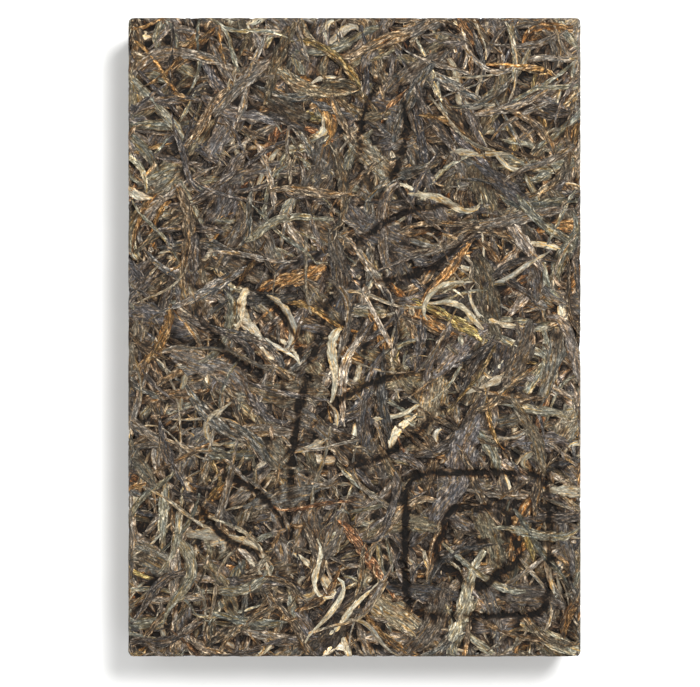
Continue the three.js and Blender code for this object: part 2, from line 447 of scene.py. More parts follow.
def outlines(kind, count, width):
    """Half widths along each leaf: narrow ends, and edges that aren't quite even."""
    t = np.linspace(0, 1, kind["stations"] + 1)
    full, tip = drawn(kind["full"], count), drawn(kind["tip"], count)
    power = (np.log(0.5) / np.log(full))[:, None]
    share = tip[:, None] + (1 - tip[:, None]) * np.sin(math.pi * t**power).clip(0) ** BLUNTNESS
    uneven = 1 + UNEVEN * dice.standard_normal(share.shape)
    return width[:, None] / 2 * share * uneven


class Leaves:
    """A number of leaves of one kind on one sheet, as arrays with one row a leaf."""

    def __init__(self, kind_name, line, half, ring, tone):
        kind = KINDS[kind_name]
        self.kind_name, self.line, self.half, self.ring = kind_name, line, half, ring
        self.count, self.stations = len(line), line.shape[1] - 1
        keys = ("crown", "folds", "fold", "cling")
        self.crown, self.folds, self.fold, self.cling = (drawn(kind[k], self.count) for k in keys)
        self.phase = drawn((0, 2 * math.pi), self.count)
        self.twist = drawn(TWIST, self.count) * dice.random(self.count)
        self.tone, self.shade = tone, dice.standard_normal(self.count)
        self.grit = dice.standard_normal((self.count, self.stations + 1, ring - 1)) * GRIT
        self.tuck = drawn((0, 1), self.count * 2).reshape(-1, 2) ** 2
        # How much painted shade this leaf takes in the grooves.
        self.groove_shade = drawn(GROOVE_SHADE_SPREAD, self.count)
        self.height = np.zeros((self.count, self.stations + 1, self.ring))


# %% Spread leaves over a sheet
LENGTH_LEAN, WIDTH_LEAN = 1.6, 1.4
LENGTH_MIXING = 35
FORKED = {"bud": 0.6, "stalk": 0.3}
FORK_TURN = (0.35, 0.9)
FORK_AT = 0.35
EDGE_OVERLAP = {"top": 4.0, "underside": 4.5, "belt": -0.3}
LONGEST_IN_HALF_STEPS = 12
GROOVE_MATTERS = 0.3
FEWER_ROUND = 5


def kept_near(line, sheet):
    """Lines that would pass an edge of the sheet by more than a few millimetres turn along it."""
    for axis, half in enumerate((sheet.half_a, sheet.half_b)):
        if axis == 0 and sheet.closed:
            continue
        most = half + EDGE_OVERLAP[sheet.name]
        past = (np.abs(line[..., axis]) - most).clip(0)
        line[..., axis] -= np.sign(line[..., axis]) * past
    return line


def graded(kind_name, line, half, tone, sheet):
    """Leaves in the steps they need. Long ones that a groove crosses keep every step and others
    every second, and those that aren't on the top have fewer points round."""
    ring = KINDS[kind_name]["ring"]
    if kind_name not in LONG_KINDS:
        return [Leaves(kind_name, line, half, ring, tone)]
    if sheet is not top:
        return [Leaves(kind_name, line[:, ::2], half[:, ::2], FEWER_ROUND, tone)]
    pressed_in = sheet.groove[sheet.cell(line[..., 0], line[..., 1])].max(1) > GROOVE_MATTERS
    length = np.linalg.norm(np.diff(line, axis=1), axis=-1).sum(1)
    fine = pressed_in & (length > LONGEST_IN_HALF_STEPS)
    return [
        Leaves(kind_name, line[fine], half[fine], ring, tone[fine]),
        Leaves(kind_name, line[~fine][:, ::2], half[~fine][:, ::2], ring, tone[~fine]),
    ]


def scattered(kind_name, count, sheet, slant):
    """New leaves all over a sheet, lying within slant of its length, and kept near its edges.
    The longer ones tend to come last, so that they show at full length."""
    kind = KINDS[kind_name]
    length = drawn(kind["length"], count, LENGTH_LEAN)
    width = drawn(kind["width"], count, WIDTH_LEAN)
    late = np.argsort(length + LENGTH_MIXING * dice.random(count))
    length, width = length[late], width[late]
    heading, tone = drawn((-slant, slant), count), dice.random(count)
    spots = drawn((-1, 1), 2 * count).reshape(-1, 1, 2) * (sheet.half_a, sheet.half_b)
    forked = round(count * FORKED.get(kind_name, 0) / 2)
    stem, branch = slice(0, 2 * forked, 2), slice(1, 2 * forked, 2)
    heading[branch] = heading[stem] + np.sign(drawn((-1, 1), forked)) * drawn(FORK_TURN, forked)
    tone[branch] = tone[stem]
    line = bent_lines(kind, count, heading, length) + spots
    fork = line[stem, round(FORK_AT * kind["stations"])]
    line[branch] += fork[:, None] - line[branch, :1]
    line = kept_near(line, sheet)
    return graded(kind_name, line, outlines(kind, count, width), tone, sheet)


# %% [markdown]
# ## Laying the leaves
#
# Leaves go down in small batches. Each one rests on what is there: it takes the heights under it,
# smooths them along its own length, as a leaf can only bend so much, and adds its own thickness.
# Then the map of heights is raised where it lies, and the map of owners remembers which leaf is on
# top. That tells us at the end which leaves can be seen at all.

# %% Lay one batch
BEND_SHARE = 0.12
ON_MEAN, ON_HIGHEST = 0.4, 0.6
MOST_TUCK, TUCK_SHARE = 0.6, 0.25
LEAF_BODY = 0.12
BELLY_DROP = 0.25
STEPS_A_CELL = 1.3


def across(ring):
    """Places across a leaf, from one edge to the other, of the points on its upper side."""
    return np.linspace(1, -1, ring - 1)


def blend_matrix(coarse, fine):
    """The weights that spread coarse values evenly over more, finer steps."""
    place = np.linspace(0, coarse - 1, fine)
    return (1 - np.abs(place[:, None] - np.arange(coarse))).clip(0)


def sides_of(line):
    """The direction across each leaf, at each of its points, pointing to its left."""
    along = np.gradient(line, axis=1)
    along /= np.maximum(np.linalg.norm(along, axis=-1, keepdims=True), 1e-9)
    return np.stack([-along[..., 1], along[..., 0]], -1)


def spread_of(leaves, rows, v):
    """Where the points across each leaf lie on the sheet."""
    line, half = leaves.line[rows], leaves.half[rows]
    offset = sides_of(line)[:, :, None, :] * (half[..., None] * v)[..., None]
    places = line[:, :, None, :] + offset
    return places[..., 0], places[..., 1]


def rise_of(leaves, rows, v):
    """How far a leaf's upper side stands above what it rests on: its crown and its creases."""
    t = np.linspace(0, 1, leaves.stations + 1)[None, :, None]
    column = lambda values: values[rows, None, None]
    wave = column(leaves.phase) + column(leaves.twist) * t
    creases = column(leaves.fold) * np.cos(math.pi * column(leaves.folds) * v + wave)
    narrow = (leaves.half[rows] / leaves.half[rows].max(1, keepdims=True))[..., None]
    return (column(leaves.crown) * (1 - v**2) + creases * (1 - v**4)) * narrow + leaves.grit[rows]


def smoothed_along(heights):
    """A leaf can only bend so much: its heights are blended over a share of its length."""
    place = np.linspace(0, 1, heights.shape[1])
    weight = np.exp(-(((place[:, None] - place) / BEND_SHARE) ** 2) / 2)
    return heights @ (weight / weight.sum(1)[:, None]).T


def lay(sheet, leaves, rows, first_number):
    """Lays some rows of leaves on the sheet and notes the height of every point of theirs."""
    v = across(leaves.ring)
    a, b = spread_of(leaves, rows, v)
    under = sheet.height[sheet.cell(a, b)]
    rest = smoothed_along(ON_MEAN * under.mean(2) + ON_HIGHEST * under.max(2))[..., None]
    cling = leaves.cling[rows, None, None]
    t = np.linspace(0, 1, leaves.stations + 1)[None, :, None]
    tuck = leaves.tuck[rows, None, None, :] * MOST_TUCK
    dip = tuck[..., 0] * (1 - t / TUCK_SHARE).clip(0)
    dip = dip + tuck[..., 1] * ((t - (1 - TUCK_SHARE)) / TUCK_SHARE).clip(0)
    upper = rest + cling * (under - rest) + rise_of(leaves, rows, v) + LEAF_BODY - dip
    leaves.height[rows, :, 1:] = upper
    leaves.height[rows, :, 0] = upper.mean(2) - leaves.crown[rows, None] - BELLY_DROP
    longest = np.linalg.norm(np.diff(leaves.line[rows], axis=1), axis=-1).sum(1).max()
    fine_t = blend_matrix(leaves.stations + 1, math.ceil(STEPS_A_CELL * longest / CELL) + 1)
    fine_v = blend_matrix(len(v), math.ceil(2 * leaves.half[rows].max() / CELL) + 2)
    a, b, upper = (np.einsum("ij,njk,lk->nil", fine_t, x, fine_v) for x in (a, b, upper))
    cells = sheet.cell(a, b)
    numbers = first_number + np.broadcast_to(rows[:, None, None], cells.shape)
    higher = upper > sheet.height[cells]
    sheet.owner[cells[higher]] = numbers[higher]
    np.maximum.at(sheet.height, cells, upper)


# %% [markdown]
# ## The brick's largest leaves
#
# The solid model has the largest leaves as low ridges on each face. The rule that spreads them is
# repeated here with the same draws, so that each ridge of the solid is a leaf of this brick.

# %% The same large leaves as the solid's
LARGE_LENGTH, LARGE_WIDTH = (17, 42), (4, 10)
LENGTH_SPREAD, WIDTH_SPREAD = (0.8, 1.1), (0.2, 0.9)
TIP_SHARE, NARROWEST = 0.3, 0.2
MOST_BEND, SIDE_SLANT = 0.55, 0.45
TOP_COUNT, UNDERSIDE_COUNT, LONG_SIDE_COUNT, SHORT_SIDE_COUNT = 100, 50, 18, 12
PLASTIC = 1.32471795724
PARK_FACTOR, PARK_MODULUS = 16807, 2147483647
park_state = SEED


def park():
    """The next draw from 0 to 1 of the solid's own simple dice."""
    global park_state
    park_state = park_state * PARK_FACTOR % PARK_MODULUS
    return park_state / PARK_MODULUS


def park_between(low, high):
    return low + (high - low) * park()


def large_leaves(count, span_a, span_b, slant, start_a):
    """Lines and half widths of one face's large leaves, the longest first."""
    t = np.linspace(0, 1, KINDS["broad"]["stations"] + 1)
    lines, halves = [], []
    for index in range(count):
        size = 1 - index / count
        spot = ((0.5 + index / PLASTIC) % 1 - 0.5, (0.5 + index / PLASTIC**2) % 1 - 0.5)
        heading = park_between(-slant, slant)
        length = LARGE_LENGTH[0] + (LARGE_LENGTH[1] - LARGE_LENGTH[0]) * size
        length *= park_between(*LENGTH_SPREAD)
        width = LARGE_WIDTH[0]
        width += (LARGE_WIDTH[1] - LARGE_WIDTH[0]) * size * park_between(*WIDTH_SPREAD)
        bend = park_between(-MOST_BEND, MOST_BEND)
        park()
        middle = np.array([start_a + spot[0] * span_a, spot[1] * span_b])
        reach = np.array([math.cos(heading), math.sin(heading)]) * length / 2
        control = middle + bend * np.array([-reach[1], reach[0]])
        lines.append(bezier((middle - reach, control, middle + reach), t))
        halves.append(width / 2 * (TIP_SHARE + (1 - TIP_SHARE) * np.sin(math.pi * np.sqrt(t))))
    return np.array(lines), np.array(halves).clip(NARROWEST)


flat_face = (WIDTH, LENGTH, math.pi, 0)
large = {
    "top": large_leaves(TOP_COUNT, *flat_face),
    "underside": large_leaves(UNDERSIDE_COUNT, *flat_face),
}
long_side, short_side = (LONG_SIDE_COUNT, LENGTH), (SHORT_SIDE_COUNT, WIDTH)
side_leaves = [
    large_leaves(*side, THICKNESS, SIDE_SLANT, quarter * BELT / 4)
    for quarter, side in ((0, long_side), (2, long_side), (1, short_side), (3, short_side))
]
large["belt"] = tuple(np.concatenate(parts) for parts in zip(*side_leaves))
print("large leaves:", {name: len(found[0]) for name, found in large.items()})

# %% [markdown]
# ## Filling the mould
#
# The numbers are leaves for each square centimetre of face. Far more are laid than will show. The
# large leaves go in late, and some small ones on top of them.

# %% Fill each sheet
PER_CM2 = {"broad": 2.6, "rolled": 12.0, "stalk": 1.6, "bud": 0.5, "crumb": 7.0, "fibre": 1.8}
BATCH_AREA = 60
LARGE_AT = 0.86
LATE_FROM = {"bud": 0.6}
SLANT = {"top": math.pi, "underside": math.pi, "belt": 0.5}


def due(leaves, share):
    """How many of some leaves are down when that share of the rounds is done."""
    start = LATE_FROM.get(leaves.kind_name, 0)
    return round(leaves.count * max(0, share - start) / (1 - start))


def fill(sheet):
    """Lays every kind in mixed batches. Returns the leaves in the order of their numbers."""
    area = 4 * sheet.half_a * sheet.half_b / 100
    found = []
    for kind_name, density in PER_CM2.items():
        found += scattered(kind_name, round(density * area), sheet, SLANT[sheet.name])
    small = len(found)
    line, half = large[sheet.name]
    found += graded("broad", line, half, dice.random(len(line)), sheet)
    firsts = np.cumsum([0] + [leaves.count for leaves in found])
    rounds = math.ceil(PER_CM2["rolled"] * area / BATCH_AREA)
    for turn in range(rounds):
        for leaves, first in zip(found[:small], firsts):
            rows = np.arange(due(leaves, turn / rounds), due(leaves, (turn + 1) / rounds))
            if len(rows):
                lay(sheet, leaves, rows, first)
        if turn == round(LARGE_AT * rounds):
            for leaves, first in zip(found[small:], firsts[small:]):
                for row in range(leaves.count):
                    lay(sheet, leaves, np.array([row]), first)
    return found, firsts


laid = {}
for sheet in sheets:
    laid[sheet.name] = fill(sheet)
    total = laid[sheet.name][1][-1]
    seen = len(np.unique(sheet.owner)) - 1
    print(f"{sheet.name}: {total} leaves laid, {seen} on top somewhere")

# %% [markdown]
# ## Pressing
#
# The press levels the heap. The broad rise and fall of the heap is taken away, what is left is
# squeezed, and nothing may pass the wall of the mould, so the highest ridges are rubbed flat
# against it. They still keep their order by a few hundredths of a millimetre, because faces in
# one plane would shade each other black. The design is pressed in last. What lies lower than its
# surroundings is then noted as sunk, and there the leaves' colour is later darkened and browned:
# painted shade, and some tea dust.

# %% Press a sheet
LEVEL_RADIUS = 5.0
SQUEEZE = {"top": 0.8, "underside": 0.6, "belt": 0.7}
WALL_SOFTNESS = {"top": 0.16, "underside": 0.08, "belt": 0.1}
FLUSH_DEPTH, FLUSH_REACH = 0.2, 1.2
HIGHEST_SHARE = {"top": 82, "underside": 60, "belt": 70}
UNDER_FOLDS, FOLD_REACH, FOLD_EASE = 0.55, 5, 3
RIM_PUSH, RIM_BAND = 1.7, 4.0
# How deep a point lies below its surroundings sets how much painted shade its colour gets.
SUNK_RADIUS, SUNK_DEPTH = 1.6, 0.9


def press(sheet):
    """Works out the sheet's level and offset, and the pressed surface that shows."""
    grid = sheet.height.reshape(sheet.shape)
    weight = (sheet.owner >= 0).astype(float).reshape(sheet.shape)
    sheet.level = blurred(grid, weight, LEVEL_RADIUS).ravel()
    rough = (sheet.height - sheet.level)[sheet.owner >= 0]
    sheet.offset = np.percentile(rough, HIGHEST_SHARE[sheet.name])
    a = (np.arange(sheet.shape[0]) + 0.5) * CELL + sheet.low_a
    b = (np.arange(sheet.shape[1]) + 0.5) * CELL + sheet.low_b
    a, b = (x.ravel() for x in np.meshgrid(a, b, indexing="ij"))
    surface = squeezed(sheet, a, b, sheet.height)
    sheet.around = blurred(surface.reshape(sheet.shape), weight, SUNK_RADIUS).ravel()
    covered = surface[sheet.owner >= 0]
    print(f"{sheet.name}: relief from {np.percentile(covered, 2):.2f} to {covered.max():.2f} mm")


def squeezed(sheet, a, b, h):
    """The height above the mould's wall that a point ends at, before the design is pressed in."""
    soft = WALL_SOFTNESS[sheet.name]
    free = SQUEEZE[sheet.name] * (h - sheet.between_cells(sheet.level, a, b) - sheet.offset)
    if sheet is not belt:
        past = np.maximum(np.abs(a) - sheet.half_a, np.abs(b) - sheet.half_b)
        free = free + RIM_PUSH * (1 + past / RIM_BAND).clip(0, 1)
    kept = -soft * np.logaddexp(0, -free / soft) - FLUSH_DEPTH * np.exp(-free.clip(0) / FLUSH_REACH)
    if sheet is belt:
        folded = (np.abs(b) - THICKNESS / 2 + FOLD_REACH) / FOLD_EASE
        kept = kept - UNDER_FOLDS * folded.clip(0, 1)
    return kept


for sheet in sheets:
    press(sheet)

# %% [markdown]
# ## From rows to meshes
#
# One tube is modelled: a cone with equal ends, cut across into as many steps as the kind has. All
# leaves of a kind are copies of it, with each point moved to its own place, and joined in one mesh.
# Each corner also keeps its place along and across its leaf in centimetres, for the grain. A
# second map, OFBake, gives every leaf a tile of its own, unrolled, with most of the tile for the
# upper side, so that a baked picture of the colours spends its pixels where they are seen.

# %% One tube for a kind
UPPER_STRIP = (0.1, 0.9)
END_STRIP = 0.04


def tube(stations, ring):
    """Faces of a closed tube: for each corner, its step along the tube, its place round it and
    its place on the tile. Then the number of corners of each face."""
    made = bmesh.new()
    bmesh.ops.create_cone(made, cap_ends=True, segments=ring, radius1=1, radius2=1, depth=1)
    upright = [e for e in made.edges if abs(e.verts[0].co.z - e.verts[1].co.z) > 0.5]
    bmesh.ops.subdivide_edges(made, edges=upright, cuts=stations - 1)
    share = ring / (2 * math.pi)
    first = math.atan2(upright[0].verts[0].co.y, upright[0].verts[0].co.x)
    steps, rounds, tiles, sizes = [], [], [], []
    for face in made.faces:
        along = [round((v.co.z + 0.5) * stations) for v in face.verts]
        turns = [round((math.atan2(v.co.y, v.co.x) - first) * share) % ring for v in face.verts]
        if set(turns) == {0, ring - 1}:
            turns = [turn or ring for turn in turns]
        if len(set(along)) == 1:
            middle = np.array([abs(along[0] / stations - END_STRIP / 2), 0.5])
            angle = np.array(turns) / share
            oval = np.stack([np.cos(angle) * END_STRIP / 2, np.sin(angle) / 2], -1)
            tiles.append(middle + UPPER_STRIP[1] * oval)
        else:
            u = END_STRIP + (1 - 2 * END_STRIP) * np.array(along) / stations
            v = np.interp(turns, (0, 1, ring - 1, ring), (0, *UPPER_STRIP, 1))
            tiles.append(np.stack([u, v], -1))
        steps += along
        rounds += turns
        sizes.append(len(face.verts))
    made.free()
    return np.array(steps), np.array(rounds), np.concatenate(tiles), np.array(sizes)


TUBES = {}


def tube_of(leaves):
    """The tube for these leaves, made the first time that one with its numbers is wanted."""
    key = (leaves.stations, leaves.ring)
    if key not in TUBES:
        TUBES[key] = tube(*key)
    return TUBES[key]


# %% Choose the leaves that can be seen, and fold them round the brick
FEWEST_CELLS = {"rolled": 9, "broad": 14, "stalk": 6, "bud": 6, "crumb": 3, "fibre": 2}
# How dark the grooves of the design are painted, as shade.
LINE_DARK = 1.9


def finished(sheet, leaves, first):
    """The mesh rows of the leaves that show: places in millimetres on the brick, and values."""
    showing = np.bincount(sheet.owner[sheet.owner >= 0], minlength=first + leaves.count)
    showing = showing[first : first + leaves.count]
    rows = np.flatnonzero(showing >= FEWEST_CELLS[leaves.kind_name])
    around = np.concatenate([[0], across(leaves.ring)])
    a, b = spread_of(leaves, rows, around)
    h = squeezed(sheet, a, b, leaves.height[rows])
    # Painted shade: how far a point lies below its surroundings, which later darkens and browns its
    # colour.
    sunk = (sheet.between_cells(sheet.around, a, b) - h) / SUNK_DEPTH
    groove = sheet.between_cells(sheet.groove, a, b)
    share = groove / GROOVE_DEPTH
    # Painted shade in the grooves: their depth adds to sunk, more for some leaves than others.
    sunk = sunk + LINE_DARK * leaves.groove_shade[rows, None, None] * share**3
    h = h - groove
    legs = np.linalg.norm(np.diff(leaves.line[rows], axis=1), axis=-1)
    along = np.concatenate([np.zeros((len(rows), 1)), np.cumsum(legs, 1)], 1)
    steps, rounds, tiles, sizes = tube_of(leaves)
    place_across = np.append(around, 0)[rounds]
    shape = a.shape
    whole = lambda values: np.broadcast_to(values[rows, None, None], shape)
    return {
        "points": np.stack(sheet.place(a, b, h), -1),
        "corners": steps * leaves.ring + rounds % leaves.ring,
        "sizes": sizes,
        "tiles": tiles,
        "grain": np.stack([along[:, steps], leaves.half[rows][:, steps] * place_across], -1),
        "tone": whole(leaves.tone),
        "shade": whole(leaves.shade),
        "sunk": sunk.clip(-1, 1.5),
        "edge": np.broadcast_to(np.abs(around), shape),
    }


# %% Join all leaves of one piece in one mesh
VALUES = ("tone", "shade", "sunk", "edge")
TILE_ASPECT, TILE_MARGIN = 5, 0.03
SHARP_FROM = math.radians(65)
CM = 10


def write(rows, key, values, kind=np.float32):
    """Writes one value for each row of a mesh's own table."""
    rows.foreach_set(key, values.astype(kind).ravel())


def tiled(groups):
    """Places on the second map: one tile for each leaf, in rows."""
    total = sum(len(group["points"]) for group in groups)
    columns = max(1, round(math.sqrt(total / TILE_ASPECT)))
    rows = math.ceil(total / columns)
    margin = np.array([TILE_MARGIN / TILE_ASPECT, TILE_MARGIN])
    places, done = [], 0
    for group in groups:
        number = done + np.arange(len(group["points"]))
        corner = np.stack([number % columns, number // columns], -1)[:, None]
        place = corner + margin + (1 - 2 * margin) * group["tiles"]
        places.append((place / (columns, rows)).reshape(-1, 2))
        done += len(number)
    return np.concatenate(places)


def joined_mesh(name, groups):
    """A mesh of many tubes, from groups of rows that share one tube each."""
    vertices, done = [], 0
    for group in groups:
        count, a_leaf = len(group["points"]), group["points"][0].size // 3
        first = done + np.arange(count)[:, None] * a_leaf
        vertices.append((group["corners"][None, :] + first).ravel())
        done += count * a_leaf
    vertices = np.concatenate(vertices)
    sizes = np.concatenate([np.tile(g["sizes"], len(g["points"])) for g in groups])
    every = lambda key: np.concatenate([g[key].ravel() for g in groups])
    mesh = bpy.data.meshes.new(name)
    mesh.vertices.add(done)
    write(mesh.vertices, "co", every("points") * MM)
    mesh.loops.add(len(vertices))
    write(mesh.loops, "vertex_index", vertices, np.int32)
    mesh.polygons.add(len(sizes))
    write(mesh.polygons, "loop_start", np.cumsum(sizes) - sizes, np.int32)
    write(mesh.polygons, "use_smooth", np.ones(len(sizes)), bool)
    mesh.update(calc_edges=True)
    write(mesh.uv_layers.new(name="grain").uv, "vector", every("grain") / CM)
    write(mesh.uv_layers.new(name="OFBake").uv, "vector", tiled(groups))
    for key in VALUES:
        write(mesh.attributes.new(key, "FLOAT", "POINT").data, "value", every(key))
    mesh.set_sharp_from_angle(angle=SHARP_FROM)
    return mesh


def rows_of(group, rows):
    """Some of the leaves of a group."""
    whole = ("corners", "sizes", "tiles")
    return {key: value if key in whole else value[rows] for key, value in group.items()}


# %% Pieces: each kind of leaf in its own colours
PIECES = {
    "charcoal_leaves": ("rolled", 0.27),
    "umber_leaves": ("rolled", 0.25),
    "taupe_leaves": ("rolled", 0.23),
    "grey_green_leaves": ("rolled", 0.16),
    "bronze_leaves": ("rolled", 0.09),
    "broad_leaves": ("broad", 1),
    "stalks": ("stalk", 1),
    "golden_buds": ("bud", 1),
    "leaf_crumbs": ("crumb", 1),
    "leaf_fibres": ("fibre", 1),
}


def gather(kind_name):
    """Everything that shows of one kind, from all three sheets."""
    return [
        finished(sheet, leaves, first)
        for sheet in sheets
        for leaves, first in zip(*laid[sheet.name])
        if leaves.kind_name == kind_name
    ]


made_pieces = {}
for kind_name in KINDS:
    groups = gather(kind_name)
    names = [name for name, (own, share) in PIECES.items() if own == kind_name]
    limits = np.cumsum([0] + [PIECES[name][1] for name in names])
    picks = [dice.random(len(group["points"])) for group in groups]
    for name, low, high in zip(names, limits, limits[1:]):
        own = [
            rows_of(group, np.flatnonzero((pick >= low) & (pick < high)))
            for group, pick in zip(groups, picks)
        ]
        own = [group for group in own if len(group["points"])]
        made_pieces[name] = placed(name, joined_mesh(name, own))
        leaves = sum(len(group["points"]) for group in own)
        triangles = sum(len(g["points"]) * int((g["sizes"] - 2).sum()) for g in own)
        print(f"{name}: {leaves} leaves, {triangles} triangles")

# %% [markdown]
# ## The core
#
# Under the leaves that show is more of the same, too dark to make out. One block stands for it,
# with tea dust on it, and its colour is made nearly black as painted shade for the gaps where it
# shows. It lies a little deeper than the leaves and sinks under the grooves. Its edges are nearly
# sharp, so that it fills the brick out to the rims.

# %% Core
CORE_DEPTH = {"top": 2.0, "sides": 2.0, "underside": 1.2}
CORE_ROUND = 0.4
CORE_STEP = 2.0

made = bmesh.new()
bmesh.ops.create_cube(made, size=1)
core_size = (
    WIDTH - 2 * CORE_DEPTH["sides"],
    LENGTH - 2 * CORE_DEPTH["sides"],
    THICKNESS - CORE_DEPTH["top"] - CORE_DEPTH["underside"],
)
bmesh.ops.scale(made, verts=made.verts, vec=core_size)
core_shift = (CORE_DEPTH["underside"] - CORE_DEPTH["top"]) / 2
bmesh.ops.translate(made, verts=made.verts, vec=(0, 0, core_shift))
bmesh.ops.bevel(made, geom=made.edges[:], offset=CORE_ROUND, segments=2, profile=0.5,
                affect="EDGES", material=-1)
for axis, span in enumerate((WIDTH, LENGTH)):
    for cut in np.arange(-span / 2 + 2 * CORE_STEP, span / 2 - 1.5 * CORE_STEP, CORE_STEP):
        normal = [0, 0, 0]
        normal[axis] = 1
        upper = [face for face in made.faces if face.normal.z > 0.5]
        around = dict.fromkeys(part for face in upper for part in (*face.verts, *face.edges))
        bmesh.ops.bisect_plane(made, geom=[*upper, *around], plane_no=normal,
                               plane_co=[cut * n for n in normal])
for vertex in made.verts:
    x, y, z = vertex.co
    if z > 0:
        z -= top.between_cells(top.groove, np.array([x]), np.array([y]))[0]
    vertex.co = (x * MM, y * MM, (z + THICKNESS / 2) * MM)
core_mesh = bpy.data.meshes.new("pressed_core")
made.to_mesh(core_mesh)
made.free()
core = placed("pressed_core", core_mesh)
print("core triangles:", sum(len(p.vertices) - 2 for p in core_mesh.polygons))

# %% [markdown]
# ## Finishes
#
# A leaf's colour comes from how it was picked and dried: dark charcoal and taupe leaves, grey-green
# and bronze ones, and pale golden buds. Along each leaf run fine streaks, its veins and creases,
# and its edges are often paler. Painted light and shade are in the colour too: streaks and creases
# are lighter on their ridges and darker in their hollows, leaf edges get a dark outline, and the
# gaps and grooves are darkened and browned.
#
# Shader maths is easier to read as Python. A Signal is a node's output, and each operator on it
# adds one Math node.

# %% Shader maths as Python
class Signal:
    """A node's output. Operators on it add Math nodes to the same material."""

    def __init__(self, finish, socket):
        self.finish, self.socket = finish, socket

    def maths(self, operation, first, second):
        return self.finish.add("ShaderNodeMath", {0: first, 1: second}, operation=operation)

    def __add__(self, other):
        return self.maths("ADD", self, other)

    def __mul__(self, other):
        return self.maths("MULTIPLY", self, other)

    def __sub__(self, other):
        return self.maths("SUBTRACT", self, other)

    def __rsub__(self, other):
        return self.maths("SUBTRACT", other, self)

    def __rpow__(self, other):
        return self.maths("POWER", other, self)

    __radd__, __rmul__ = __add__, __mul__

    def step(self, low, high):
        """0 below low and 1 above high, with a soft step between them."""
        ends = {"Value": self, "From Min": low, "From Max": high}
        return self.finish.add("ShaderNodeMapRange", ends, interpolation_type="SMOOTHSTEP")


class Finish:
    """One material, with a method that adds any node to it."""

    def __init__(self, name):
        self.material = bpy.data.materials.new(name)
        self.material.use_nodes = True
        self.tree = self.material.node_tree
        self.shader = self.tree.nodes["Principled BSDF"]

    def add(self, kind, inputs=None, output=0, **settings):
        node = self.tree.nodes.new(kind)
        for key, value in settings.items():
            setattr(node, key, value)
        self.feed(node, inputs or {})
        return Signal(self, node.outputs[output])

    def feed(self, node, inputs):
        """Links signals to a node's inputs, and writes plain values in them."""
        for key, value in inputs.items():
            if isinstance(value, Signal):
                self.tree.links.new(value.socket, node.inputs[key])
            else:
                node.inputs[key].default_value = value

    def ramp(self, share, colours):
        """The colours blended one into the next, evenly spread, as share goes from 0 to 1."""
        found = self.add("ShaderNodeValToRGB", {0: share})
        elements = found.socket.node.color_ramp.elements
        places = [i / (len(colours) - 1) for i in range(len(colours))]
        for place in places[2:]:
            elements.new(place)
        for element, place, colour in zip(elements, places, colours):
            element.position, element.color = place, (*colour, 1)
        return found

    def value(self, name):
        return self.add("ShaderNodeAttribute", output="Fac", attribute_name=name)

    def noise(self, vector, scale, detail=3, roughness=0.55):
        inputs = {"Vector": vector, "Scale": scale, "Detail": detail, "Roughness": roughness}
        return self.add("ShaderNodeTexNoise", inputs)

    def vector(self, x, y, z):
        return self.add("ShaderNodeCombineXYZ", {"X": x, "Y": y, "Z": z})

    def mix(self, share, first, second):
        inputs = {"Factor": share, 6: first, 7: second}
        return self.add("ShaderNodeMix", inputs, output=2, data_type="RGBA")

    def scaled(self, colour, by):
        return self.add("ShaderNodeVectorMath", {0: colour, "Scale": by}, operation="SCALE")

    def tinted(self, colour, tint, share):
        """The colour multiplied by a tint, as far as share says."""
        by = self.mix(share, (1, 1, 1, 1), (*tint, 1))
        return self.add("ShaderNodeVectorMath", {0: colour, 1: by}, operation="MULTIPLY")

    def wear(self, piece):
        piece.data.materials.append(self.material)


# %% One leaf finish, in many colours
GOLDEN_CAST = (1.35, 1.0, 0.48)
SLATE_CAST = (0.82, 0.94, 1.07)
SUNK_SHADE_TINT = (1.22, 0.88, 0.6)
# Painted shade: how far leaf edges are darkened, as where they turn down onto the leaves below.
EDGE_DARK = 0.4
# How strongly streaks and creases are lightened and darkened: painted light and shade on their bumps,
# and for the streaks partly the leaf's own colour. SHADE_STEP sets each leaf's random brightness, not
# light.
STREAK_GAIN, CREASE_SHADE_GAIN, SHADE_STEP = 5, 2, 1.32
# Painted shade: how dark the sunk points and grooves are made.
OPEN_LIGHT, SUNK_DARK = 0.88, 0.84
LEAF_APART = 173
RELIEF = 0.0008
ROUGHEST, SPECULAR = 0.8, 0.3


